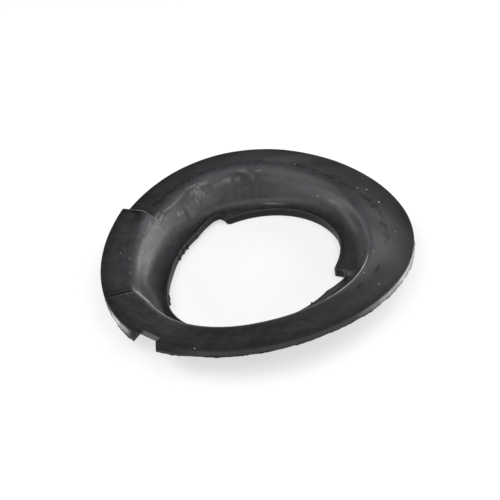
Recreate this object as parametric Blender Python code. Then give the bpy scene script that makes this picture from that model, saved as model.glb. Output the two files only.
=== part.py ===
"""Upper spring mount: a one-piece moulded rubber ring that sits between a coil spring and the body.

Seen in section, a flat outer land rolls over into a steep hub wall, which turns inward into a dish
whose inner edge is a raised lip. Around the ring the land drops slowly like the coil it covers, waves
gently, and jumps back up at a step where the wire's tip ends. The tongue behind the step leads down
to a low crease, where the next turn starts. The lip is deeper along one side and cut back beside it.

Metres, +Z up. The origin is on the axis, level with the deep lip's foot.
Angles are in degrees, counterclockwise from +X as seen from above.
"""

import math

import bmesh
import bpy

MM = 0.001

# Land: the flat outer ring that the spring presses against the body.
LAND_RADIUS = 75.0 * MM
LAND_WIDTH = 12.2 * MM
LAND_HEIGHT = 19.3 * MM
SHEET = 3.8 * MM
LAND_EDGE = 0.45 * MM

# Rim beside the locating notch, which flares outward and hangs a little lower.
FLARE_ANGLE = 222.0
FLARE_HALF = 28.0
FLARE_OUT = 1.2 * MM
FLARE_DOWN = 1.2 * MM
FLARE_WIDTH = 3.5 * MM

# Run of the land around the ring.
COIL_DROP = 3.0 * MM
WAVE_HEIGHT = 4.2 * MM
WAVE_CREST = 103.0

# Step at the wire's tip, and the crease at the tongue's other end.
STEP_ANGLE = 147.2
STEP_RISE = 4.3 * MM
STEP_RUN = 0.9
STEP_FADE = 36.0
CREASE_ANGLE = 194.8
CREASE_RISE = 0.95 * MM
CREASE_RUN = 0.7
CREASE_FADE = 16.0
FADE_WIDTH = 10.0 * MM
EDGE_SKEW = 1.7

# Roll from the land into the hub wall, whose circle is shifted, and the fillet into the dish.
ROLL_RADIUS = 8.8 * MM
WALL_DRAFT = 0.15 * MM
HUB_SHIFT = 2.0 * MM
SHIFT_ANGLE = 230.0
WALL_FILLET = 7.0 * MM
LEAST_FILLET = 0.8 * MM
LEAST_FLOOR = 1.8 * MM

# Dish and the raised bead of its lip.
FLOOR_WIDTH = 13.45 * MM
BEAD_TOP = 5.9 * MM
BEAD_RISE = 0.9 * MM
BEAD_WIDTH = 3.6 * MM
BEAD_EDGE = 0.6 * MM
SPREAD_ANGLE = 222.0
SPREAD_BROAD = 4.5 * MM
SPREAD_LEFT = 80.0
SPREAD_RIGHT = 150.0
SPREAD_PEAK = 6.3 * MM
PEAK_HALF = 50.0

# Deep side of the lip, and the reliefs beside its ends.
DEEP_OFFSET = 0.8 * MM
DEEP_OVAL = 1.3 * MM
OVAL_ANGLE = 35.0
DEEP_CLOSE = 2.7 * MM
CLOSE_START = 14.0
CLOSE_RUN = 34.0
DEEP_DROP = 2.4 * MM
DEEP_FLOOR_DROP = 1.4 * MM
DEEP_START = -26.2
DEEP_END = 108.0
DEEP_RUN = 5.0
WEDGE_DROP = 2.0 * MM
WEDGE_RUN = 40.0
BACK_RELIEF = 4.0 * MM
BACK_RELIEF_RUN = 26.0
FRONT_RELIEF = 3.8 * MM
FRONT_RELIEF_RUN = 21.0
RELIEF_FALL = 1.4

# Locating notch in the land's rim.
NOTCH_ANGLE = 223.8
NOTCH_WIDTH = 14.0 * MM
NOTCH_DEPTH = 3.3 * MM

# How finely the ring is divided.
SPACING = 3.0
ROLL_STEPS = 7
FILLET_STEPS = 5
EDGE_STEPS = 2
SHARP = 28.0


def signed(angle):
    """The same angle, from -180 up to 180."""
    return (angle + 180.0) % 360.0 - 180.0


def ramp(offset, run):
    """0 before a change, 1 after it, and a straight run between, centred on it."""
    return min(max(offset / run + 0.5, 0.0), 1.0)


def hump(offset, half):
    """1 at the middle of a smooth hump, 0 from its half width outward."""
    return 0.5 + 0.5 * math.cos(math.pi * min(abs(offset) / half, 1.0))


def land_height(angle, step_run=STEP_RUN, crease_run=CREASE_RUN):
    """Top of the land: coil drop, wave, step, tongue and crease."""
    tongue_start = (STEP_ANGLE - CREASE_ANGLE) % 360.0
    tongue_length = 360.0 - tongue_start
    turned = (angle - CREASE_ANGLE) % 360.0
    if turned > tongue_start + 0.5 * tongue_length:
        turned -= 360.0
    coil = LAND_HEIGHT - COIL_DROP * turned / 360.0
    top = LAND_HEIGHT - COIL_DROP * tongue_start / 360.0 + STEP_RISE
    foot = LAND_HEIGHT - CREASE_RISE
    past_step = signed(angle - STEP_ANGLE)
    tongue = top + (foot - top) * past_step / tongue_length
    begun = ramp(past_step, step_run)
    ended = ramp(signed(angle - CREASE_ANGLE), crease_run)
    share = min(begun, 1.0 - ended)
    wave = WAVE_HEIGHT * math.cos(math.radians(2.0 * (angle - WAVE_CREST)))
    return coil + (tongue - coil) * share + wave


def hub_radius(angle):
    """Radius of the hub wall, whose circle is shifted off the land's."""
    shift = HUB_SHIFT * math.cos(math.radians(angle - SHIFT_ANGLE))
    return LAND_RADIUS - LAND_WIDTH - ROLL_RADIUS - WALL_DRAFT + shift


def deep_share(angle):
    """1 along the lip's deep side, 0 elsewhere, with a slanted end at both sides."""
    middle = 0.5 * (DEEP_START + DEEP_END)
    half = 0.5 * (DEEP_END - DEEP_START)
    return ramp(half - abs(signed(angle - middle)), DEEP_RUN)


def relief(past, depth, run):
    """Cut in the lip just beyond an end of the deep side, running out along the lip."""
    if past <= 0.0:
        return 0.0
    return depth * min(max(RELIEF_FALL * (1.0 - past / run), 0.0), 1.0)


def plain_lip(angle):
    """Inner radius of the lip away from the deep side."""
    past = signed(angle - SPREAD_ANGLE)
    half = SPREAD_LEFT if past < 0.0 else SPREAD_RIGHT
    spread = SPREAD_BROAD * hump(past, half) + SPREAD_PEAK * hump(past, PEAK_HALF)
    beside = relief(signed(angle - DEEP_END), BACK_RELIEF, BACK_RELIEF_RUN)
    beside += relief(signed(DEEP_START - angle), FRONT_RELIEF, FRONT_RELIEF_RUN)
    return LAND_RADIUS - LAND_WIDTH - ROLL_RADIUS - WALL_DRAFT - FLOOR_WIDTH + spread + beside


def deep_lip(angle):
    """Inner radius of the lip along the deep side: a slight oval that closes in at the right."""
    base = LAND_RADIUS - LAND_WIDTH - ROLL_RADIUS - WALL_DRAFT - FLOOR_WIDTH + DEEP_OFFSET
    oval = DEEP_OVAL * math.cos(math.radians(2.0 * (angle - OVAL_ANGLE)))
    closing = min(max((CLOSE_START - signed(angle)) / CLOSE_RUN, 0.0), 1.0)
    return base + oval - DEEP_CLOSE * closing


def lip_radius(angle):
    """Inner radius of the lip all the way round."""
    share = deep_share(angle)
    plain = plain_lip(angle)
    return plain + (deep_lip(angle) - plain) * share if share > 0.0 else plain


def arc(centre, radius, start, end, steps):
    """Points round a centre between two tilts of the surface, both counted from level."""
    points = []
    for step in range(steps + 1):
        tilt = start + (end - start) * step / steps
        points.append((centre[0] - radius * math.sin(tilt), centre[1] + radius * math.cos(tilt)))
    return points


def outline(angle, height):
    """Closed outline of the ring at an angle and a land height, as (radius, height) pairs."""
    lip = lip_radius(angle)
    hub = hub_radius(angle)
    deep = deep_share(angle)
    foot = DEEP_DROP * (1.0 - deep)
    wedge = min(max(1.0 - (DEEP_END - signed(angle)) / WEDGE_RUN, 0.0), 1.0)
    floor_level = BEAD_TOP - BEAD_RISE - DEEP_FLOOR_DROP * deep
    bead = floor_level + BEAD_RISE - WEDGE_DROP * wedge * deep
    room = (height - floor_level) / 0.9 - ROLL_RADIUS
    fillet = max(min(WALL_FILLET, room, hub - lip - LEAST_FLOOR), LEAST_FILLET)
    roll = (hub + ROLL_RADIUS + WALL_DRAFT, height - ROLL_RADIUS)
    bend = (hub - fillet, floor_level + fillet)
    across = roll[0] - bend[0]
    fall = roll[1] - bend[1]
    steep = math.atan2(fall, across) + math.asin((ROLL_RADIUS + fillet) / math.hypot(across, fall))

    flare = hump(signed(angle - FLARE_ANGLE), FLARE_HALF)
    rim = LAND_RADIUS - LAND_EDGE
    low = (rim + FLARE_OUT * flare, height - SHEET + LAND_EDGE - FLARE_DOWN * flare)
    points = arc(low, LAND_EDGE, -math.pi, -0.5 * math.pi, EDGE_STEPS)
    points += arc((rim, height - LAND_EDGE), LAND_EDGE, -0.5 * math.pi, 0.0, EDGE_STEPS)
    points += arc(roll, ROLL_RADIUS, 0.0, steep, ROLL_STEPS)
    points += arc(bend, -fillet, steep, 0.0, FILLET_STEPS)
    valley = lip + min(BEAD_WIDTH, bend[0] - lip)
    crest = lip + BEAD_EDGE
    points.append((valley, floor_level))
    points.append((0.5 * (valley + crest), 0.5 * (floor_level + bead)))
    points += arc((crest, bead - BEAD_EDGE), BEAD_EDGE, 0.0, 0.5 * math.pi, EDGE_STEPS)
    points.append((lip, foot))

    outside = fillet + SHEET
    drop = max(min((bend[1] - foot) / outside, 1.0), 0.0)
    corner = min(math.acos(drop), 0.8 * steep)
    under = arc(bend, -outside, corner, steep, FILLET_STEPS)
    points += [(radius, max(level, foot)) for radius, level in under]
    points += arc(roll, ROLL_RADIUS - SHEET, steep, 0.0, ROLL_STEPS)
    points.append((rim - min(FLARE_WIDTH, 0.5 * (rim - roll[0])), height - SHEET))
    return points


def section(angle):
    """Outline at an angle: sharp steps on the land, which fade out down the roll and the hub."""
    crisp = outline(angle, land_height(angle))
    soft = outline(angle, land_height(angle, STEP_FADE, CREASE_FADE))
    faded = hub_radius(angle)
    points = []
    for sharp, smooth in zip(crisp, soft):
        share = min(max((sharp[0] - faded) / FADE_WIDTH, 0.0), 1.0)
        points.append(
            (
                smooth[0] + (sharp[0] - smooth[0]) * share,
                smooth[1] + (sharp[1] - smooth[1]) * share,
            )
        )
    return points


def stations():
    """Angles of the sections: an even spacing, with the ends of every change of shape added."""
    marks = []
    for centre, run in ((STEP_ANGLE, STEP_RUN), (CREASE_ANGLE, CREASE_RUN)):
        marks += [centre - 0.5 * run, centre + 0.5 * run]
    for end in (DEEP_START, DEEP_END):
        marks += [end - 0.5 * DEEP_RUN, end + 0.5 * DEEP_RUN]
    marks = sorted(mark % 360.0 for mark in marks)
    count = round(360.0 / SPACING)
    clearance = 0.3 * SPACING
    even = [360.0 * index / count for index in range(count)]
    kept = [
        angle
        for angle in even
        if all(abs(signed(angle - mark)) > clearance for mark in marks)
    ]
    return sorted(kept + marks)


def skew(angle, radius):
    """Small lean of the step's and the crease's edges, which aren't quite radial."""
    inward = min(max((LAND_RADIUS - radius) / LAND_WIDTH, 0.0), 1.0)
    lean = 0.0
    for centre, way in ((STEP_ANGLE, -1.0), (CREASE_ANGLE, 1.0)):
        offset = abs(signed(angle - centre))
        lean += way * EDGE_SKEW * max(0.0, 1.0 - offset / (6.0 * EDGE_SKEW))
    return angle + lean * inward


def ring_mesh():
    """Loft the sections round the axis into one closed skin."""
    mesh = bmesh.new()
    loops = []
    for angle in stations():
        loop = []
        for radius, height in section(angle):
            around = math.radians(skew(angle, radius))
            loop.append(mesh.verts.new((radius * math.cos(around), radius * math.sin(around), height)))
        loops.append(loop)
    for index, loop in enumerate(loops):
        following = loops[(index + 1) % len(loops)]
        for near in range(len(loop)):
            far = (near + 1) % len(loop)
            mesh.faces.new((loop[near], following[near], following[far], loop[far]))
    bmesh.ops.recalc_face_normals(mesh, faces=mesh.faces)
    bmesh.ops.triangulate(mesh, faces=mesh.faces)
    data = bpy.data.meshes.new("spring_mount_ring")
    mesh.to_mesh(data)
    mesh.free()
    return data


def rubber():
    """Black moulded rubber, dull with a faint bloom."""
    material = bpy.data.materials.new("black_moulded_rubber")
    material.use_nodes = True
    shader = material.node_tree.nodes["Principled BSDF"]
    shader.inputs["Base Color"].default_value = (0.022, 0.023, 0.025, 1.0)
    shader.inputs["Roughness"].default_value = 0.55
    shader.inputs["Metallic"].default_value = 0.0
    return material


def notch_cutter():
    """Box that cuts the locating notch through the land's rim."""
    outside = 4.0 * MM
    tall = 4.0 * SHEET
    length = NOTCH_DEPTH + outside
    reach = LAND_RADIUS - NOTCH_DEPTH + 0.5 * length
    around = math.radians(NOTCH_ANGLE)
    place = (reach * math.cos(around), reach * math.sin(around), land_height(NOTCH_ANGLE) - 0.5 * SHEET)
    bpy.ops.mesh.primitive_cube_add(size=1.0, location=place, rotation=(0.0, 0.0, around))
    cutter = bpy.context.active_object
    cutter.name = "notch_cutter"
    cutter.scale = (length, NOTCH_WIDTH, tall)
    cutter.hide_render = True
    cutter.display_type = "WIRE"
    return cutter


def build():
    for item in list(bpy.data.objects):
        bpy.data.objects.remove(item, do_unlink=True)
    ring = bpy.data.objects.new("spring_mount_ring", ring_mesh())
    bpy.context.collection.objects.link(ring)
    ring.data.materials.append(rubber())
    cut = ring.modifiers.new("locating_notch", "BOOLEAN")
    cut.operation = "DIFFERENCE"
    cut.object = notch_cutter()
    ring.data.shade_smooth()
    ring.data.set_sharp_from_angle(angle=math.radians(SHARP))


build()
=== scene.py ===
# Upper spring mount: a black rubber ring that seats the top of a suspension coil spring, lying hub down
# on a white studio table. It is one moulding, so one section makes it, and the studio follows.
import math
import random

import bmesh
import bpy
import numpy as np
from mathutils import Matrix, Vector


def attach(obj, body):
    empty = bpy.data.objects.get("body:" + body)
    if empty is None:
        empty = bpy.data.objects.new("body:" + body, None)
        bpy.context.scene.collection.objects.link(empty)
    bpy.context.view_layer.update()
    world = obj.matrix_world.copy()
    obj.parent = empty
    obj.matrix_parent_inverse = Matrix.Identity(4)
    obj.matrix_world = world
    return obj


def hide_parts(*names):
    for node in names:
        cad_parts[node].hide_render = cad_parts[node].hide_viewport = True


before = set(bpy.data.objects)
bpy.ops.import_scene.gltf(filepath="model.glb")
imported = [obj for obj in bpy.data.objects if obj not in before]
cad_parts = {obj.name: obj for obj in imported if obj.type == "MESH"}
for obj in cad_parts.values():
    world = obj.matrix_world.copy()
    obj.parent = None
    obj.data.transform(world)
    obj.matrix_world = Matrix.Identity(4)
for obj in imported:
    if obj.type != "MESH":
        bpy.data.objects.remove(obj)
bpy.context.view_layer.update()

# Spring mount ring. Compression-moulded black rubber, one piece: a wavy land that the spring's end coil
# bears on, a raised tongue that stops the coil's tip, a round roll down to the steep hub wall, and the
# dish with the lip around the bore. Sizes are in millimetres and degrees, counted counterclockwise from
# the right as seen from above.
MM = 0.001
LAND_RADIUS = 75.0
LAND_WIDTH = 12.2
LAND_HEIGHT = 19.3
LAND_EDGE = 0.45
SHEET = 3.8
FLARE_ANGLE = 222.0
FLARE_HALF = 28.0
FLARE_OUT = 1.2
FLARE_DOWN = 1.2
FLARE_WIDTH = 3.5
COIL_DROP = 3.0
WAVE_HEIGHT = 4.2
WAVE_CREST = 103.0
STEP_ANGLE = 147.2
STEP_RISE = 4.3
STEP_RUN = 0.5
STEP_FADE = 36.0
CREASE_ANGLE = 194.8
CREASE_RISE = 0.95
CREASE_RUN = 0.6
CREASE_FADE = 16.0
FADE_WIDTH = 10.0
EDGE_SKEW = 1.7
SKEW_REACH = 6.0
ROLL_RADIUS = 8.8
HUB_RADIUS = 53.85
HUB_SHIFT = 2.0
SHIFT_ANGLE = 230.0
SHIFT_HALF = 110.0
HUB_IN = 2.0
IN_ANGLE = 0.0
IN_HALF = 60.0
WALL_DRAFT = 0.15
TIGHT_ROLL = 3.4
TIGHT_PUSH = 0.65
PUSH_ANGLE = 268.0
PUSH_HALF = 122.0
TIGHT_START = 200.0
TIGHT_END = 376.0
TIGHT_START_RUN = 22.0
TIGHT_END_RUN = 44.0
EASY_SLOPE = 56.0
STEEP_SLOPE = 80.0
HARD_SLOPE = 88.0
STEEP_START = 202.0
STEEP_END = 370.0
EVEN_REACH = 6
EVEN_RUN = 14
DISH_LEAST = 6.5
DISH_MOST = 11.0
MOST_REACH = 0.9
LEAST_FLOOR = 1.8
LEAST_STEP = 0.1
LEAST_TURN = 0.3
MOST_CORNER = 0.8
CROWN = 0.45
CROWN_ANGLE = 172.0
CROWN_HALF = 40.0
LIP_RADIUS = 40.4
BEAD_TOP = 5.9
BEAD_RISE = 0.9
BEAD_WIDTH = 3.6
BEAD_EDGE = 0.6
SPREAD_ANGLE = 222.0
SPREAD_BROAD = 4.5
SPREAD_LEFT = 80.0
SPREAD_RIGHT = 150.0
SPREAD_PEAK = 6.3
PEAK_HALF = 50.0
DEEP_RADIUS = 41.2
DEEP_OVAL = 1.3
OVAL_ANGLE = 35.0
DEEP_CLOSE = 2.7
CLOSE_START = 14.0
CLOSE_RUN = 34.0
DEEP_DROP = 2.4
DEEP_FLOOR_DROP = 1.4
DEEP_START = -26.2
DEEP_END = 108.0
DEEP_RUN = 7.0
SINK_RUN = 34.0
WEDGE_DROP = 2.0
WEDGE_RUN = 40.0
BACK_RELIEF = 4.0
BACK_RELIEF_RUN = 26.0
FRONT_RELIEF = 3.8
FRONT_RELIEF_RUN = 21.0
RELIEF_FALL = 1.4
NOTCH_ANGLE = 223.8
NOTCH_WIDTH = 14.0
NOTCH_DEPTH = 3.3
NOTCH_PAST = 4.0
NOTCH_SHEETS = 4.0

# How finely the skin is divided: turns between sections, closer at the step and the crease, and steps
# along each stretch of a section.
SECTION_TURN = 0.4
FINE_TURN = 0.1
FINE_REACH = 1.6
CORNER_STEPS = 4
SIDE_STEPS = 4
LAND_STEPS = 14
ROLL_STEPS = 16
DISH_STEPS = 13
FLOOR_STEPS = 6
BEAD_STEPS = 5
UNDER_STEPS = 3
UNDER_DISH_STEPS = 7
UNDER_ROLL_STEPS = 8
SLOPE_TRIES = 20

# Flash left where the mould closed: nubs on the lip as angle, reach and half width, and a ragged fin
# along the rim's lower edge.
FLASH_NUBS = (
    (148.6, 0.9, 0.8),
    (153.2, 0.7, 0.7),
    (159.0, 0.8, 0.9),
    (196.3, 0.8, 0.8),
    (201.4, 1.0, 1.1),
    (299.0, 0.9, 1.0),
)
FLASH_FIN = 0.28
FLASH_SEED = 41
FIN_EASE = 0.8
SWELL = 0.015
SWELL_WAVES = 9
FOOT_BAND = 0.2
SHARP_ANGLE = 32.0


def signed(angle):
    """The same angle, counted from -180 up to 180 degrees."""
    return (angle + 180.0) % 360.0 - 180.0


def ramp(offset, run):
    """Straight rise from nought to one over a run, half way up where the offset is nought."""
    return min(max(offset / run + 0.5, 0.0), 1.0)


def smooth(share):
    """A share with its two ends eased."""
    return share * share * (3.0 - 2.0 * share)


def hump(offset, half):
    """One at nought, falling in a wave to nought at half a width away."""
    return 0.5 + 0.5 * math.cos(math.pi * min(abs(offset) / half, 1.0))


def land_height(angle, step_run, crease_run):
    """Height of the land: it follows the coil and a wave twice round, with the tongue on top."""
    tongue_start = (STEP_ANGLE - CREASE_ANGLE) % 360.0
    tongue_length = 360.0 - tongue_start
    turned = (angle - CREASE_ANGLE) % 360.0
    if turned > tongue_start + 0.5 * tongue_length:
        turned -= 360.0
    coil = LAND_HEIGHT - COIL_DROP * turned / 360.0
    top = LAND_HEIGHT - COIL_DROP * tongue_start / 360.0 + STEP_RISE
    foot = LAND_HEIGHT - CREASE_RISE
    past_step = signed(angle - STEP_ANGLE)
    tongue = top + (foot - top) * past_step / tongue_length
    ended = ramp(signed(angle - CREASE_ANGLE), crease_run)
    share = min(ramp(past_step, step_run), 1.0 - ended)
    wave = WAVE_HEIGHT * math.cos(math.radians(2.0 * (angle - WAVE_CREST)))
    return coil + (tongue - coil) * share + wave


def span(angle, start, end, start_run, end_run):
    """Share that is one from the start angle to the end angle, with a slope of its own at each end."""
    middle = 0.5 * (start + end)
    past = signed(angle - middle)
    return smooth(ramp(0.5 * (end - start) - abs(past), start_run if past < 0.0 else end_run))


def tightened(angle):
    """How much smaller than elsewhere the roll's radius is, round the front."""
    share = span(angle, TIGHT_START, TIGHT_END, TIGHT_START_RUN, TIGHT_END_RUN)
    return (ROLL_RADIUS - TIGHT_ROLL) * share


def hub_radius(angle):
    """The hub sits off centre and stands further out where the roll is tight at the front."""
    pushed = TIGHT_PUSH * hump(signed(angle - PUSH_ANGLE), PUSH_HALF) * tightened(angle)
    shift = HUB_SHIFT * hump(signed(angle - SHIFT_ANGLE), SHIFT_HALF)
    return HUB_RADIUS + shift - HUB_IN * hump(signed(angle - IN_ANGLE), IN_HALF) + pushed


def deep_share(angle):
    """One along the deep side of the lip, nought elsewhere."""
    return span(angle, DEEP_START, DEEP_END, DEEP_RUN, DEEP_RUN)


def sunk_share(angle):
    """How far the dish has sunk to the deep side's floor, slowly at the back and quickly at the front."""
    back_slope = smooth(ramp(signed(DEEP_END - 0.5 * SINK_RUN - angle), SINK_RUN))
    return min(back_slope, ramp(signed(angle - DEEP_START), DEEP_RUN))


def relief(past, depth, run):
    """Extra radius of the lip past an end of the deep side, falling away over its run."""
    if past <= 0.0:
        return 0.0
    return depth * min(max(RELIEF_FALL * (1.0 - past / run), 0.0), 1.0)


def lip_radius(angle):
    """Inner radius of the lip: spread at the front left, an oval deep side, reliefs beside its ends."""
    past = signed(angle - SPREAD_ANGLE)
    half = SPREAD_LEFT if past < 0.0 else SPREAD_RIGHT
    plain = LIP_RADIUS + SPREAD_BROAD * hump(past, half) + SPREAD_PEAK * hump(past, PEAK_HALF)
    plain += relief(signed(angle - DEEP_END), BACK_RELIEF, BACK_RELIEF_RUN)
    plain += relief(signed(DEEP_START - angle), FRONT_RELIEF, FRONT_RELIEF_RUN)
    oval = DEEP_OVAL * math.cos(math.radians(2.0 * (angle - OVAL_ANGLE)))
    closing = min(max((CLOSE_START - signed(angle)) / CLOSE_RUN, 0.0), 1.0)
    deep = DEEP_RADIUS + oval - DEEP_CLOSE * closing
    share = deep_share(angle)
    return plain + (deep - plain) * share if share > 0.0 else plain


def evened_lip():
    """Radius for each whole degree that the dish runs down to: the lip's widest places, evened out."""
    lips = np.array([lip_radius(angle) for angle in range(360)])
    widest = np.max([np.roll(lips, turn) for turn in range(-EVEN_REACH, EVEN_REACH + 1)], axis=0)
    return np.mean([np.roll(widest, turn) for turn in range(-EVEN_RUN, EVEN_RUN + 1)], axis=0)


def nub(angle):
    """How far the nubs of flash reach into the bore."""
    return sum(reach * hump(signed(angle - place), half) for place, reach, half in FLASH_NUBS)


def arc(centre, radius, start, end, steps):
    """Points round a centre, from one tilt of the surface to another, both counted from level."""
    tilts = start + (end - start) * np.arange(steps + 1) / steps
    return [(centre[0] - radius * math.sin(tilt), centre[1] + radius * math.cos(tilt)) for tilt in tilts]


def dish_radius(slope, rise, reach, round_radius):
    """Radius of the dish that leaves a wall of this slope between the roll and the lip."""
    return (reach * math.sin(slope) - rise * math.cos(slope)) / (1.0 - math.cos(slope)) - round_radius


def wall_slope(angle, rise, reach, round_radius):
    """Slope of the wall: steep round the front, easier elsewhere, but never so easy as to fill the dish."""
    steepened = span(angle, STEEP_START, STEEP_END, TIGHT_START_RUN, TIGHT_END_RUN)
    easy = math.radians(EASY_SLOPE + (STEEP_SLOPE - EASY_SLOPE) * steepened)
    hard = math.radians(HARD_SLOPE)
    least = min(DISH_LEAST, MOST_REACH * (reach - round_radius))
    if dish_radius(easy, rise, reach, round_radius) >= least:
        return easy
    for _ in range(SLOPE_TRIES):
        half_way = 0.5 * (easy + hard)
        if dish_radius(half_way, rise, reach, round_radius) >= least:
            hard = half_way
        else:
            easy = half_way
    return hard


def between(start, end, steps):
    """Points that divide a straight run, without its two ends."""
    return [
        (
            start[0] + (end[0] - start[0]) * step / steps,
            start[1] + (end[1] - start[1]) * step / steps,
        )
        for step in range(1, steps)
    ]


def outline(angle, height, fin):
    """Closed outline of the ring at one angle, as rows of radius and height."""
    lip = lip_radius(angle)
    hub = hub_radius(angle)
    deep = deep_share(angle)
    foot = DEEP_DROP * (1.0 - deep)
    wedge = min(max(1.0 - (DEEP_END - signed(angle)) / WEDGE_RUN, 0.0), 1.0)
    floor_level = BEAD_TOP - BEAD_RISE - DEEP_FLOOR_DROP * sunk_share(angle)
    bead = floor_level + BEAD_RISE - WEDGE_DROP * wedge * deep
    turned = ROLL_RADIUS - tightened(angle)
    roll = (hub + turned + WALL_DRAFT, height - turned)
    rise = height - floor_level
    reach = roll[0] - np.interp(angle, range(360), DISH_END, period=360.0) - LEAST_FLOOR
    steep = wall_slope(angle, rise, reach, turned)
    tallest = rise / (1.0 - math.cos(steep)) - turned
    dish = min(dish_radius(steep, rise, reach, turned), DISH_MOST, tallest)
    drop = rise - (turned + dish) * (1.0 - math.cos(steep))
    wall_top = (roll[0] - turned * math.sin(steep), roll[1] + turned * math.cos(steep))
    wall_foot = (wall_top[0] - drop / math.tan(steep), wall_top[1] - drop)
    bend = (wall_foot[0] - dish * math.sin(steep), floor_level + dish)

    flare = hump(signed(angle - FLARE_ANGLE), FLARE_HALF)
    rim = LAND_RADIUS - LAND_EDGE
    low = (rim + FLARE_OUT * flare, height - SHEET + LAND_EDGE - FLARE_DOWN * flare)
    rows = arc(low, LAND_EDGE, -math.pi, -0.5 * math.pi, CORNER_STEPS)
    middle = CORNER_STEPS // 2
    rows[middle] = (rows[middle][0] + fin, rows[middle][1] - 0.5 * fin)
    rows += between(rows[-1], (LAND_RADIUS, height - LAND_EDGE), SIDE_STEPS)
    rows += arc((rim, height - LAND_EDGE), LAND_EDGE, -0.5 * math.pi, 0.0, CORNER_STEPS)
    rows += between(rows[-1], (roll[0], height), LAND_STEPS)
    rows += arc(roll, turned, 0.0, steep, ROLL_STEPS)
    rows += between(rows[-1], wall_foot, SIDE_STEPS)
    rows += arc(bend, -dish, steep, 0.0, DISH_STEPS)
    valley = (min(lip + BEAD_WIDTH, bend[0] - LEAST_STEP), floor_level)
    rows += between(rows[-1], valley, FLOOR_STEPS) + [valley]
    lip -= nub(angle)
    crest = lip + BEAD_EDGE
    for radius, level in between(valley, (crest, bead), BEAD_STEPS):
        share = (valley[0] - radius) / (valley[0] - crest)
        lift = 0.5 - 0.5 * math.cos(math.pi * share)
        rows.append((radius, floor_level + (bead - floor_level) * lift))
    rows += arc((crest, bead - BEAD_EDGE), BEAD_EDGE, 0.0, 0.5 * math.pi, CORNER_STEPS)
    rows += between(rows[-1], (lip, foot), SIDE_STEPS) + [(lip, foot)]

    # The underside follows a sheet's thickness below, and is flat where it would pass the foot.
    outside = dish + SHEET
    corner = min(math.acos(max(min((bend[1] - foot) / outside, 1.0), 0.0)), MOST_CORNER * steep)
    turned_under = arc(bend, -outside, corner, steep, UNDER_DISH_STEPS)
    under = [(radius, max(level, foot)) for radius, level in turned_under]
    rows += between(rows[-1], under[0], UNDER_STEPS) + under
    rows += arc(roll, max(turned - SHEET, LEAST_TURN), steep, 0.0, UNDER_ROLL_STEPS)
    inward = (rim - FLARE_WIDTH, height - SHEET)
    rows += between(rows[-1], inward, UNDER_STEPS) + [inward]
    return np.array(rows)


def stations():
    """Angles of the sections, closer together at the step and the crease."""
    angles = list(np.arange(0.0, 360.0, SECTION_TURN))
    for centre in (STEP_ANGLE, CREASE_ANGLE):
        angles += list(np.arange(centre - FINE_REACH, centre + FINE_REACH, FINE_TURN))
    return np.array(sorted(set(np.round(angles, 3) % 360.0)))


def skew(angle, radius):
    """Angle of a point where the step and the crease lean away from a straight line to the middle."""
    inward = np.clip((LAND_RADIUS - radius) / LAND_WIDTH, 0.0, 1.0)
    lean = np.zeros_like(radius)
    for centre, way in ((STEP_ANGLE, -1.0), (CREASE_ANGLE, 1.0)):
        lean += way * EDGE_SKEW * max(0.0, 1.0 - abs(signed(angle - centre)) / (SKEW_REACH * EDGE_SKEW))
    return angle + lean * inward


def swell(angle, radius, waves):
    """Slight unevenness that a moulding has where it cooled and shrank."""
    turn = math.radians(angle)
    total = sum(np.sin(turns * turn + phase + across * radius) for turns, phase, across in waves)
    return SWELL * total


DISH_END = evened_lip()


def ring_loops():
    """Points of every section round the ring, crisp at the rim and faded at the hub."""
    dice = random.Random(FLASH_SEED)
    waves = []
    for _ in range(SWELL_WAVES):
        waves.append((dice.randint(3, 19), dice.uniform(0.0, 6.28), dice.uniform(0.1, 0.5)))
    loops = []
    fin = 0.0
    for angle in stations():
        fin = FIN_EASE * fin + (1.0 - FIN_EASE) * max(0.0, dice.gauss(1.0, 1.4)) * FLASH_FIN
        faded = hub_radius(angle)
        crisp = outline(angle, land_height(angle, STEP_RUN, CREASE_RUN), fin)
        soft = outline(angle, land_height(angle, STEP_FADE, CREASE_FADE), fin)
        share = np.clip((crisp[:, :1] - faded) / FADE_WIDTH, 0.0, 1.0)
        rows = soft + (crisp - soft) * share
        inward = np.clip((LAND_RADIUS - rows[:, :1]) / LAND_WIDTH, 0.0, 1.0)
        rows[:, 1:] -= CROWN * hump(signed(angle - CROWN_ANGLE), CROWN_HALF) * inward**2
        on_foot = rows[:, 1] < DEEP_DROP + FOOT_BAND
        rows[:, 1] += np.where(on_foot, 0.0, swell(angle, rows[:, 0], waves))
        around = np.radians(skew(angle, rows[:, 0]))
        across, back = rows[:, 0] * np.cos(around), rows[:, 0] * np.sin(around)
        loops.append(np.stack((across, back, rows[:, 1]), axis=1))
    return np.array(loops)


loops = ring_loops()
count, length = loops.shape[:2]
data = bpy.data.meshes.new("spring_mount_rubber")
faces = [
    (
        near * length + step,
        (near + 1) % count * length + step,
        (near + 1) % count * length + (step + 1) % length,
        near * length + (step + 1) % length,
    )
    for near in range(count)
    for step in range(length)
]
data.from_pydata((loops.reshape(-1, 3) * MM).tolist(), [], faces)
data.validate()
skin = bmesh.new()
skin.from_mesh(data)
bmesh.ops.recalc_face_normals(skin, faces=skin.faces)
skin.to_mesh(data)
skin.free()
ring = bpy.data.objects.new("spring_mount_rubber", data)
bpy.context.scene.collection.objects.link(ring)

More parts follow.
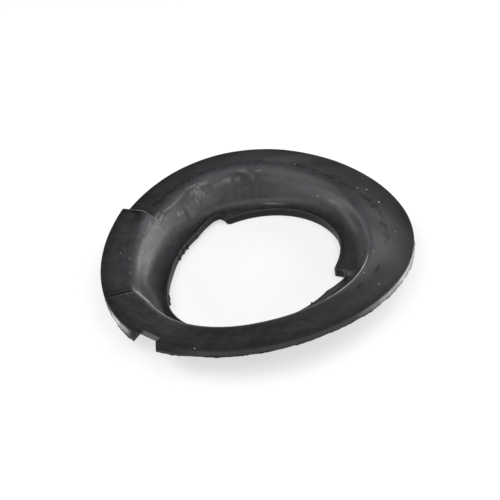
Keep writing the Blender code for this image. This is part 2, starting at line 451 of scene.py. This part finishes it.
# The locating notch is cut out of the rim by a block that stands past it outside, above and below.
notch_length = NOTCH_DEPTH + NOTCH_PAST
notch_reach = LAND_RADIUS - NOTCH_DEPTH + 0.5 * notch_length
notch_level = land_height(NOTCH_ANGLE, STEP_RUN, CREASE_RUN) - 0.5 * SHEET
notch_size = (notch_length * MM, NOTCH_WIDTH * MM, NOTCH_SHEETS * SHEET * MM)
notch_mesh = bpy.data.meshes.new("notch_cutter")
block = bmesh.new()
bmesh.ops.create_cube(block, size=1.0)
bmesh.ops.scale(block, verts=block.verts, vec=notch_size)
bmesh.ops.translate(block, verts=block.verts, vec=(notch_reach * MM, 0.0, notch_level * MM))
bmesh.ops.rotate(block, verts=block.verts, matrix=Matrix.Rotation(math.radians(NOTCH_ANGLE), 3, "Z"))
block.to_mesh(notch_mesh)
block.free()
notch = bpy.data.objects.new("notch_cutter", notch_mesh)
bpy.context.scene.collection.objects.link(notch)
cut = ring.modifiers.new("locating_notch", "BOOLEAN")
cut.operation = "DIFFERENCE"
cut.solver = "EXACT"
cut.object = notch
evaluated = ring.evaluated_get(bpy.context.evaluated_depsgraph_get())
finished = bpy.data.meshes.new_from_object(evaluated)
ring.modifiers.clear()
ring.data = finished
bpy.data.objects.remove(notch)
ring.data.shade_smooth()
ring.data.set_sharp_from_angle(angle=math.radians(SHARP_ANGLE))

# Marks on the rubber, worked out for each point of the mesh and kept as three attributes: one pale where
# the skin is scuffed or worn and where a highlight is painted, one for a grey film of bloom and for painted
# highlights on the roll, and one dark for oil or grease, for painted shade and for a darker rim.
MARK_TURN = 0.2
MARK_SEED = 7
places = np.array([point.co for point in ring.data.vertices]) / MM
level = np.array([normal.vector[2] for normal in ring.data.vertex_normals])
radius = np.hypot(places[:, 0], places[:, 1])
angle = np.degrees(np.arctan2(places[:, 1], places[:, 0])) % 360.0
wrap = signed(angle)


def at_points(size_at):
    """A size that changes round the ring, read off at the angle of each point."""
    turns = np.arange(0.0, 360.0, MARK_TURN)
    return np.interp(angle, turns, [size_at(turn) for turn in turns], period=360.0)


def crisp_land(turn):
    """Height of the land at its rim."""
    return land_height(turn, STEP_RUN, CREASE_RUN)


def roll_start(turn):
    """Radius where the land begins to turn down into the roll."""
    return hub_radius(turn) + ROLL_RADIUS - tightened(turn)


def fade(values, start, run):
    """Nought at the start and one a run further on; a run below nought fades towards lower values."""
    return np.clip((values - start) / run, 0.0, 1.0)


def window(values, start, run_in, end, run_out):
    """One between a start and an end, faded in after the one and out before the other."""
    return fade(values, start, run_in) * fade(values, end, -run_out)


def bell(values, centre, half):
    """One at the centre, falling off to a third at half a width away."""
    return np.exp(-(((values - centre) / half) ** 2))


def around(centre, half):
    """Bell round the ring, centred on one angle."""
    return bell(signed(angle - centre), 0.0, half)


def near_rim(width):
    """One at the rim, fading to nought at a width inside it."""
    return fade(radius, LAND_RADIUS - width, width)


def stroke(start, way, long, half):
    """A straight mark from a start (angle, radius), heading so many degrees off the ring's way round."""
    begin = math.radians(start[0])
    heading = math.radians(start[0] + 90.0 - way)
    across_x = places[:, 0] - start[1] * math.cos(begin)
    across_y = places[:, 1] - start[1] * math.sin(begin)
    along = across_x * math.cos(heading) + across_y * math.sin(heading)
    off = -across_x * math.sin(heading) + across_y * math.cos(heading)
    return bell(off, 0.0, half) * window(along, -half, half, long + half, half)


def add_mark(total, mark, strength):
    """Keep whichever is stronger, the new mark or what is there already."""
    np.maximum(total, strength * mark, out=total)


fall = at_points(crisp_land) - places[:, 2]
inward = at_points(roll_start) - radius
from_lip = radius - at_points(lip_radius)
upper = fade(level, start=-0.3, run=0.5)
upright = fade(np.abs(level), start=0.8, run=-0.5)
side_face = fade(np.abs(level), start=0.733, run=-0.333) * (radius > LAND_RADIUS - 0.5 * LAND_WIDTH)
lean = np.clip((LAND_RADIUS - radius) / LAND_WIDTH, 0.0, 1.3)
scuff_and_highlight = np.zeros(len(places))
grease_and_shade = np.zeros(len(places))
bloom = np.zeros(len(places))
dice = random.Random(MARK_SEED)


def scatter(total, count, turns, radii, ways, lengths, half, strengths, pick=dice.uniform):
    """Strokes at random; each draws its angle, radius, way, length and strength, in that order."""
    for _ in range(count):
        start = (dice.uniform(*turns), pick(*radii))
        mark = stroke(start, dice.uniform(*ways), dice.uniform(*lengths), half)
        add_mark(total, mark * upper, dice.uniform(*strengths))


# The step: a painted highlight along its arris, painted shade on the tongue just behind it, and a painted
# highlight on the tongue's roll below it.
step_line = (angle - STEP_ANGLE) * np.radians(radius) + EDGE_SKEW * lean
arris_highlight = bell(step_line, centre=0.0, half=0.42) * window(radius, 55.5, 1.5, 74.5, 3.0)
add_mark(scuff_and_highlight, arris_highlight * upper, 0.85)
add_mark(grease_and_shade, bell(step_line, centre=1.5, half=1.1) * bell(radius, centre=66.3, half=3.0) * upper, 1.2)
add_mark(grease_and_shade, bell(step_line, centre=3.0, half=4.5) * bell(radius, centre=64.6, half=1.5) * upper, 0.7)
bloom += 1.3 * bell(step_line, centre=5.0, half=6.5) * bell(inward, centre=4.2, half=2.0) * upper
# The crease: painted shade along its foot, and a painted highlight on the edge in front of it that runs on
# into the ridge over the hub.
crease_line = (angle - CREASE_ANGLE) * np.radians(radius) - EDGE_SKEW * np.minimum(lean, 1.0)
crease_shade = bell(crease_line, centre=-0.5, half=0.8) * fade(radius, start=62.2, run=1.0)
add_mark(grease_and_shade, crease_shade * upper, 2.2)
crease_edge_highlight = bell(crease_line, centre=0.7, half=0.34) * window(radius, 57.0, 1.0, 77.0, 14.0)
add_mark(scuff_and_highlight, crease_edge_highlight * upper, 0.32)
# The ridge over the hub: a painted highlight along it at the left, and along its brow at the right front.
left_ridge_highlight = bell(inward, centre=2.7, half=0.5) * window(angle, 192.0, 6.0, 238.0, 16.0)
add_mark(scuff_and_highlight, left_ridge_highlight * upper, 1.1)
brow = np.interp(wrap, (-66.0, -28.0), (1.9, 2.6))
right_ridge_highlight = bell(inward, centre=brow, half=0.5) * window(wrap, -66.0, 8.0, -22.0, 16.0)
add_mark(scuff_and_highlight, right_ridge_highlight * upper, 2.2)
# Painted highlight on the roll, laid in as a grey film: thick at the back and the right, thin on the left,
# none on an oily patch behind.
bloom += 0.80 * around(-2.0, half=26.0) * bell(inward, centre=1.9, half=1.5) * upper
bloom += 0.55 * around(96.0, half=42.0) * bell(inward, centre=3.4, half=2.6) * upper
bloom += 0.08 * around(168.0, half=26.0) * bell(inward, centre=5.0, half=5.0) * upper
bloom += 0.35 * around(52.0, half=14.0) * bell(radius, centre=54.0, half=3.0) * upper
bloom += 0.30 * around(0.0, half=34.0) * bell(radius, centre=61.0, half=6.0) * upper
add_mark(grease_and_shade, around(90.0, half=7.5) * bell(radius, centre=56.6, half=1.3) * upper, 0.6)
# Darker along the rim, more at the right and the back, on the rim's side, and on the land in front.
add_mark(grease_and_shade, near_rim(7.0) * upper, 0.62)
add_mark(grease_and_shade, near_rim(13.0) * around(-4.0, half=36.0) * upper, 1.0)
add_mark(grease_and_shade, near_rim(12.0) * around(74.0, half=58.0) * upper, 0.8)
add_mark(grease_and_shade, near_rim(0.9) * upper, 1.0)
add_mark(grease_and_shade, side_face, 0.6)
grease_and_shade += 0.45 * window(angle, 228.0, 16.0, 334.0, 12.0) * bell(radius, centre=64.5, half=5.5) * upper
# Painted shade on the upright faces: the lip's bore face, the notch, the step and the front end of the deep
# side.
add_mark(grease_and_shade, fade(from_lip, start=1.5, run=-1.0) * upright, 0.8)
add_mark(grease_and_shade, around(NOTCH_ANGLE, half=7.0) * fade(radius, LAND_RADIUS - 4.0, run=1.0) * upright, 0.9)
add_mark(grease_and_shade, around(STEP_ANGLE, half=1.5) * fade(radius, start=57.0, run=3.0) * upright, 0.7)
add_mark(grease_and_shade, around(-27.0, half=3.5) * fade(from_lip, start=3.75, run=-2.5) * upright, 1.0)
# Painted highlight on the rim's side at the flared left and along the right; the darkening there is taken
# off under it.
side_highlight = window(angle, 200.0, 4.0, 217.0, 7.0) + window(wrap, -62.0, 30.0, -12.0, 10.0)
side_highlight *= window(fall, 0.5, 0.4, 3.9, 0.8) * side_face
add_mark(scuff_and_highlight, side_highlight, 1.0)
grease_and_shade *= 1.0 - np.clip(1.4 * side_highlight, 0.0, 1.0)
# Scuffs: short slanting marks and longer ones round the roll at the back left, where a coil has rubbed.
scatter(scuff_and_highlight, 46, turns=(112.0, 148.0), radii=(52.5, 57.0), ways=(15.0, 70.0), lengths=(0.2, 1.4),
        half=0.24, strengths=(0.1, 0.38))
scatter(scuff_and_highlight, 26, turns=(76.0, 150.0), radii=(54.5, 58.5), ways=(-14.0, 14.0), lengths=(2.0, 7.0),
        half=0.32, strengths=(0.1, 0.34))
scatter(scuff_and_highlight, 18, turns=(150.0, 184.0), radii=(55.0, 61.0), ways=(-20.0, 60.0), lengths=(0.6, 2.2),
        half=0.3, strengths=(0.06, 0.22))
# Two thin bright arcs low in the dish, where the knock-out tool slid.
back_arc = bell(radius, centre=46.4, half=0.45) * fade(np.abs(angle - 73.5), start=9.0, run=-9.0)
add_mark(scuff_and_highlight, back_arc * upper, 0.5)
right_arc = bell(radius, centre=53.2, half=0.35) * fade(np.abs(angle - 35.0), start=7.0, run=-7.0)
add_mark(scuff_and_highlight, right_arc * upper, 0.25)
# Oil streaks in broken arcs along the land's inner edge, blots at the right and long streaks in front.
# The radii of the first two are a middle and a spread.
scatter(grease_and_shade, 150, turns=(-18.0, 136.0), radii=(62.9, 0.7), ways=(-4.0, 4.0), lengths=(0.8, 6.0),
        half=0.38, strengths=(0.3, 0.85), pick=dice.gauss)
scatter(grease_and_shade, 40, turns=(-6.0, 24.0), radii=(62.8, 0.9), ways=(-8.0, 8.0), lengths=(0.2, 2.6),
        half=0.45, strengths=(0.3, 0.9), pick=dice.gauss)
scatter(grease_and_shade, 30, turns=(232.0, 318.0), radii=(62.5, 68.5), ways=(-5.0, 5.0), lengths=(2.0, 9.0),
        half=0.45, strengths=(0.15, 0.5))
# Painted shade of a fine groove along the land at the right front, drawn as a crisp dark line.
groove_shade = bell(radius, centre=63.3, half=0.36) * window(wrap, -57.0, 8.0, -31.0, 2.0)
add_mark(grease_and_shade, groove_shade * upper, 1.0)
marks = {"scuff_and_highlight": scuff_and_highlight, "grease_and_shade": np.clip(grease_and_shade, 0.0, 1.0), "bloom": np.clip(bloom, 0.0, 1.0)}
for name, values in marks.items():
    layer = ring.data.attributes.new(name, "FLOAT", "POINT")
    layer.data.foreach_set("value", values.astype(np.float32))


def linear(hex_colour):
    """An sRGB hex colour as linear red, green, blue and one for alpha."""
    channels = [int(hex_colour[i : i + 2], 16) / 255.0 for i in (1, 3, 5)]
    return tuple(c / 12.92 if c <= 0.04045 else ((c + 0.055) / 1.055) ** 2.4 for c in channels) + (1.0,)


def add(tree, kind, settings=(), links=()):
    """Add a node, set its sockets or properties by name, and link its inputs from other sockets."""
    node = tree.nodes.new(kind)
    for name, value in dict(settings).items():
        if isinstance(name, str) and hasattr(node, name) and name not in node.inputs:
            setattr(node, name, value)
        else:
            node.inputs[name].default_value = value
    for name, source in dict(links).items():
        tree.links.new(source, node.inputs[name])
    return node


# Compression-moulded black rubber: dull carbon black with a cloudy grey bloom, streaks that flowed round
# the mould, a few light scuffs and dust, with painted highlights and painted shade laid in by the marks.
# The eye gets a soft broad highlight that the film breaks up.
CARBON_BLACK = "#1D1E20"
BLOOM_AND_HIGHLIGHT_GREY = "#3E4043"
GREASE_AND_SHADE_BLACK = "#0B0B0C"
SCUFF_AND_HIGHLIGHT_GREY = "#B4B4B2"
DUST_WHITE = "#EFEFEC"
RUBBER_IOR = 1.52
RUBBER_ROUGH = 0.38
CLEAN_GLOSS = 0.5
GREASE_AND_SHADE_DULLS = 0.42
# Pattern sizes in millimetres: clouds of bloom, blotches from the mould's skin, the grain of the rubber,
# which is coarser here than the real one so that it shows, and the width of a flow streak.
CLOUD_SIZE = 26.0
MOTTLE_SIZE = 3.2
GRAIN_SIZE = 0.55
STREAK_SIZE = 6.0
# Streaks are noise in coordinates that run slowly round the ring and quickly across it.
STREAK_ROUND = 0.060
STREAK_ACROSS = 9.0
GRAIN_STRENGTH = 0.28
GRAIN_DEPTH = 0.06
rubber = bpy.data.materials.new("moulded_rubber")
rubber.use_nodes = True
tree = rubber.node_tree
shader = tree.nodes["Principled BSDF"]
shader.inputs["IOR"].default_value = RUBBER_IOR
spot = add(tree, "ShaderNodeTexCoord").outputs["Object"]
sides = add(tree, "ShaderNodeSeparateXYZ", links={"Vector": spot})
flat = add(tree, "ShaderNodeCombineXYZ", links={"X": sides.outputs["X"], "Y": sides.outputs["Y"]})
in_plan = flat.outputs["Vector"]
way = add(tree, "ShaderNodeVectorMath", {"operation": "NORMALIZE"}, {0: in_plan})
reach = add(tree, "ShaderNodeVectorMath", {"operation": "LENGTH"}, {0: in_plan})
round_way = add(
    tree,
    "ShaderNodeVectorMath",
    {"operation": "SCALE", "Scale": STREAK_ROUND},
    {0: way.outputs["Vector"]},
)
across = add(
    tree,
    "ShaderNodeMath",
    {"operation": "MULTIPLY", 1: STREAK_ACROSS},
    {0: reach.outputs["Value"]},
)
lift = add(tree, "ShaderNodeCombineXYZ", links={"Z": across.outputs["Value"]})
streak_place = add(
    tree,
    "ShaderNodeVectorMath",
    {"operation": "ADD"},
    {0: round_way.outputs["Vector"], 1: lift.outputs["Vector"]},
)


def pattern(place, size, detail, low, high):
    """Noise of one size in millimetres, stretched to run from nought to one between two levels."""
    cloudy = add(
        tree,
        "ShaderNodeTexNoise",
        {"Scale": 1.0 / (size * MM), "Detail": detail},
        {"Vector": place},
    )
    return add(
        tree,
        "ShaderNodeMapRange",
        {"From Min": low, "From Max": high},
        {"Value": cloudy.outputs["Fac"]},
    ).outputs["Result"]


def sum_of(*terms):
    """Add up sockets, each times its own weight."""
    total = None
    for weight, source in terms:
        part = add(tree, "ShaderNodeMath", {"operation": "MULTIPLY", 1: weight}, {0: source})
        if total is not None:
            sockets = {0: total, 1: part.outputs["Value"]}
            part = add(tree, "ShaderNodeMath", {"operation": "ADD"}, sockets)
        total = part.outputs["Value"]
    return total


cloud = pattern(spot, CLOUD_SIZE, 3.0, 0.36, 0.66)
mottle = pattern(spot, MOTTLE_SIZE, 3.0, 0.35, 0.65)
grain = pattern(spot, GRAIN_SIZE, 2.0, 0.3, 0.7)
streak = pattern(streak_place.outputs["Vector"], STREAK_SIZE, 3.0, 0.42, 0.68)
marked = {
    name: add(tree, "ShaderNodeAttribute", {"attribute_name": name}).outputs["Fac"]
    for name in ("scuff_and_highlight", "grease_and_shade", "bloom")
}
film_and_highlight = sum_of((0.26, cloud), (0.16, mottle), (0.2, streak), (0.9, marked["bloom"]), (-0.06, grain))
greased_and_shaded = sum_of((0.85, marked["grease_and_shade"]))
scuffed_and_highlit = add(
    tree,
    "ShaderNodeMath",
    {"operation": "MULTIPLY", "use_clamp": True},
    {0: marked["scuff_and_highlight"], 1: sum_of((0.5, mottle), (0.75, grain))},
).outputs["Value"]

# Dust: specks half a millimetre or so across, each by its angle, radius and half width.
SPECK_EDGE = (0.95, 0.45)
DUST = (
    (15.2, 66.4, 0.42),
    (46.5, 52.9, 0.20),
    (63.6, 62.9, 0.30),
    (25.7, 66.9, 0.32),
    (29.4, 64.6, 0.26),
    (337.3, 57.2, 0.26),
    (319.2, 59.4, 0.24),
    (315.7, 69.4, 0.28),
    (244.3, 74.2, 0.26),
    (171.0, 66.0, 0.22),
    (352.0, 66.5, 0.22),
)
specks = []
for speck_angle, speck_radius, half in DUST:
    turn = math.radians(speck_angle)
    centre = (speck_radius * math.cos(turn) * MM, speck_radius * math.sin(turn) * MM, 0.0)
    gap = add(tree, "ShaderNodeVectorMath", {"operation": "DISTANCE", 1: centre}, {0: in_plan})
    speck = add(
        tree,
        "ShaderNodeMapRange",
        {"From Min": SPECK_EDGE[0] * half * MM, "From Max": SPECK_EDGE[1] * half * MM},
        {"Value": gap.outputs["Value"]},
    )
    specks.append((1.0, speck.outputs["Result"]))

# The colour is laid on in coats: the black rubber's film of bloom and painted highlight first, then grease
# and painted shade, scuffs and painted highlights, and dust.
colour = add(
    tree,
    "ShaderNodeMix",
    {"data_type": "RGBA", "clamp_factor": True, 6: linear(CARBON_BLACK), 7: linear(BLOOM_AND_HIGHLIGHT_GREY)},
    {0: film_and_highlight},
).outputs[2]
for share, coat in ((greased_and_shaded, GREASE_AND_SHADE_BLACK), (scuffed_and_highlit, SCUFF_AND_HIGHLIGHT_GREY), (sum_of(*specks), DUST_WHITE)):
    colour = add(
        tree,
        "ShaderNodeMix",
        {"data_type": "RGBA", "clamp_factor": True, 7: linear(coat)},
        {0: share, 6: colour},
    ).outputs[2]
tree.links.new(colour, shader.inputs["Base Color"])
# The oily patches, the darkened rim and the painted shade give back much less light than the clean skin.
dimmed = add(
    tree,
    "ShaderNodeMath",
    {"operation": "MULTIPLY_ADD", 1: -GREASE_AND_SHADE_DULLS, 2: CLEAN_GLOSS, "use_clamp": True},
    {0: marked["grease_and_shade"]},
)
tree.links.new(dimmed.outputs["Value"], shader.inputs["Specular IOR Level"])
dull = sum_of((0.08, mottle), (0.06, grain), (0.10, marked["bloom"]), (0.12, marked["scuff_and_highlight"]))
rough = add(tree, "ShaderNodeMath", {"operation": "ADD", 1: RUBBER_ROUGH}, {0: dull})
tree.links.new(rough.outputs["Value"], shader.inputs["Roughness"])
bump = add(
    tree,
    "ShaderNodeBump",
    {"Strength": GRAIN_STRENGTH, "Distance": GRAIN_DEPTH * MM},
    {"Height": sum_of((0.5, grain), (0.5, mottle))},
)
tree.links.new(bump.outputs["Normal"], shader.inputs["Normal"])
ring.data.materials.clear()
ring.data.materials.append(rubber)

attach(ring, "root")
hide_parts("spring_mount_ring")

# Studio table: a wide round of white board that curves up at its rim, lit from below as well, so that
# shadows stay faint.
TABLE_FLAT = 2.4
SWEEP_RADIUS = 0.8
SWEEP_STEPS = 12
TABLE_TURNS = 96
TABLE_GLOW = 0.5
BOARD_WHITE = "#C4C4C4"
GLOW_WHITE = "#FFFFFF"
BOARD_ROUGH = 0.8
floor_mesh = bpy.data.meshes.new("studio_table")
profile = [(TABLE_FLAT, 0.0)]
for step in range(1, SWEEP_STEPS + 1):
    climb = 0.5 * math.pi * step / SWEEP_STEPS
    out = TABLE_FLAT + SWEEP_RADIUS * math.sin(climb)
    profile.append((out, SWEEP_RADIUS - SWEEP_RADIUS * math.cos(climb)))
sheet_points = [(0.0, 0.0, 0.0)]
for out, up in profile:
    for turn in np.linspace(0.0, 2.0 * math.pi, TABLE_TURNS, endpoint=False):
        sheet_points.append((out * math.cos(turn), out * math.sin(turn), up))
sheet_faces = [(0, 1 + turn, 1 + (turn + 1) % TABLE_TURNS) for turn in range(TABLE_TURNS)]
for step in range(SWEEP_STEPS):
    for turn in range(TABLE_TURNS):
        here = 1 + step * TABLE_TURNS + turn
        beside = 1 + step * TABLE_TURNS + (turn + 1) % TABLE_TURNS
        sheet_faces.append((here, here + TABLE_TURNS, beside + TABLE_TURNS, beside))
floor_mesh.from_pydata(sheet_points, [], sheet_faces)
floor_mesh.shade_smooth()
floor = bpy.data.objects.new("studio_table", floor_mesh)
bpy.context.scene.collection.objects.link(floor)
# Matt white board: rough and plain, with a glow of its own that stands for the light under it.
board = bpy.data.materials.new("white_matt_board")
board.use_nodes = True
paint = board.node_tree.nodes["Principled BSDF"].inputs
paint["Base Color"].default_value = linear(BOARD_WHITE)
paint["Roughness"].default_value = BOARD_ROUGH
paint["Emission Color"].default_value = linear(GLOW_WHITE)
paint["Emission Strength"].default_value = TABLE_GLOW
floor.data.materials.append(board)

# Studio lights: softboxes in a ring round the table, low and high, the strongest low on the right, with
# the room itself dim. Each is turned to the middle of the ring from LIGHT_DISTANCE metres away.
LIGHT_DISTANCE = 1.0
LOW = 12.0
HIGH = 60.0
LOW_SIZE = 0.42
HIGH_SIZE = 0.6
ROOM_WHITE = "#FFFFFF"
ROOM_GLOW = 0.02
room = bpy.data.worlds.new("dim_room")
room.use_nodes = True
room.node_tree.nodes["Background"].inputs["Color"].default_value = linear(ROOM_WHITE)
room.node_tree.nodes["Background"].inputs["Strength"].default_value = ROOM_GLOW
bpy.context.scene.world = room
bpy.context.scene.view_settings.view_transform = "Standard"


def softbox(name, angle, elevation, size, watts):
    """A round softbox at an angle round the table and an elevation above it, turned to the ring."""
    tilt = math.radians(elevation)
    turn = math.radians(angle)
    way = Vector((math.cos(turn) * math.cos(tilt), math.sin(turn) * math.cos(tilt), math.sin(tilt)))
    lamp = bpy.data.lights.new(name, "AREA")
    lamp.shape = "DISK"
    lamp.size = size
    lamp.energy = watts
    light = bpy.data.objects.new(name, lamp)
    light.location = LIGHT_DISTANCE * way
    light.rotation_euler = (-way).to_track_quat("-Z", "Y").to_euler()
    bpy.context.scene.collection.objects.link(light)


# The powers come from a scratch program that fitted them to the photograph's brightness. Nine are the
# fitted values rounded, those of low_right_back, low_right and high_right were then changed, and low_back
# is one lamp where the fit had three small ones. The other lamps stand on the fit's grid of angles and
# elevations.
softbox("low_right_back", 30.0, LOW, LOW_SIZE, 5.1)
softbox("low_right", 0.0, LOW, LOW_SIZE, 4.2)
softbox("low_right_front", 330.0, LOW, LOW_SIZE, 1.2)
softbox("low_front_right", 300.0, LOW, LOW_SIZE, 2.2)
softbox("low_front_left", 240.0, LOW, LOW_SIZE, 2.3)
softbox("low_left_front", 210.0, LOW, LOW_SIZE, 1.6)
softbox("low_left", 180.0, LOW, LOW_SIZE, 2.9)
softbox("low_left_back", 150.0, LOW, LOW_SIZE, 2.9)
softbox("low_back", 75.0, LOW, LOW_SIZE, 1.1)
softbox("high_front_left", 240.0, HIGH, HIGH_SIZE, 2.2)
softbox("high_front_right", 300.0, HIGH, HIGH_SIZE, 1.6)
softbox("high_left", 180.0, HIGH, HIGH_SIZE, 1.8)
softbox("high_right", 0.0, HIGH, HIGH_SIZE, 1.6)

# Camera: the photograph's own view, from the front and about 38 degrees up, rolled a little. The aim is
# a height over the ring's middle, and the shifts are shares of the picture's width. The elevation, roll,
# distance, lens and shifts were fitted by a scratch program to the ring's edges in the photograph.
CAMERA_ELEVATION = 38.388
CAMERA_ROLL = 10.192
CAMERA_DISTANCE = 416.2
CAMERA_AIM = 18.0
CAMERA_NEAR = 10.0
SENSOR = 36.0
LENS = 62.97
SHIFT_ACROSS = -0.0080
SHIFT_UP = -0.0209
lens = bpy.data.cameras.new("studio_camera")
lens.sensor_width = SENSOR
lens.lens = LENS
lens.shift_x = SHIFT_ACROSS
lens.shift_y = SHIFT_UP
lens.clip_start = CAMERA_NEAR * MM
camera = bpy.data.objects.new("studio_camera", lens)
bpy.context.scene.collection.objects.link(camera)
tilt = math.radians(CAMERA_ELEVATION)
back = Vector((0.0, -math.cos(tilt), math.sin(tilt)))
stand = Vector((0.0, 0.0, CAMERA_AIM * MM)) + back * CAMERA_DISTANCE * MM
pitch = Matrix.Rotation(math.radians(90.0 - CAMERA_ELEVATION), 4, "X")
roll = Matrix.Rotation(-math.radians(CAMERA_ROLL), 4, "Z")
camera.matrix_world = Matrix.Translation(stand) @ pitch @ roll
bpy.context.scene.camera = camera
